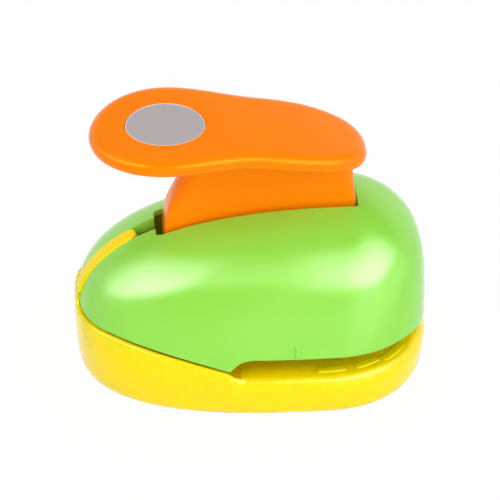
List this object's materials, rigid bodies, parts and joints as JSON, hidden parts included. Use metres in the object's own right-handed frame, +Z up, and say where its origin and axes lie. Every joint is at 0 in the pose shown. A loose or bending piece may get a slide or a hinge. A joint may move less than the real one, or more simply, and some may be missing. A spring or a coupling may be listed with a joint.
{
  "type": "lever craft punch",
  "caption": "Desk craft punch that cuts a round shape from paper: a domed cover on a base tray, with an arched lever that drives a cutter through a die.",
  "frame": {"origin": "middle of the base's length and width, on the surface that it stands on", "axes": "+X towards the front end, +Y towards the far side mouth, +Z up"},
  "size_m": [0.14, 0.1088, 0.1041],
  "materials": {
    "yellow_plastic": "gloss moulded",
    "green_plastic": "gloss moulded",
    "orange_plastic": "gloss moulded",
    "grey_plastic": "satin",
    "steel": "ground and plated",
    "dark_plastic": "moulded",
    "nylon": "moulded"
  },
  "bodies": {
    "base": {"base_tray": "yellow_plastic", "cover_shell": "green_plastic", "pivot_pin": "steel", "pivot_washers": "nylon", "pin_clips": "steel", "pivot_bracket": "steel", "bracket_screws": "steel", "guide_plate": "steel", "die_plate": "steel", "throat_spacer": "steel", "plate_rivets": "steel", "guide_posts": "steel", "post_clips": "steel", "return_springs": "steel", "die_screws": "steel", "cover_screws": "steel", "guide_plate_screws": "steel"},
    "lever": {"lever": "orange_plastic", "shape_disc": "grey_plastic"},
    "plunger": {"cutter": "steel", "cutter_carrier": "dark_plastic", "carrier_screws": "steel", "wear_cap": "steel"}
  },
  "joints": [
    {"name": "lever_press", "type": "hinge", "parent": "base", "child": "lever", "pos_m": [0.036, 0, 0.055], "axis": [0, -1, 0], "range_deg": [0, 14], "stiffness_Nm_per_rad": 3.8, "springref_deg": -5.9},
    {"name": "plunger_slide", "type": "slide", "parent": "base", "child": "plunger", "axis": [0, 0, -1], "range_m": [0, 0.0053], "deforming": ["return_springs"]}
  ],
  "couplings": [
    {"joint": "plunger_slide", "follows": "lever_press", "m_per_rad": 0.0215}
  ]
}
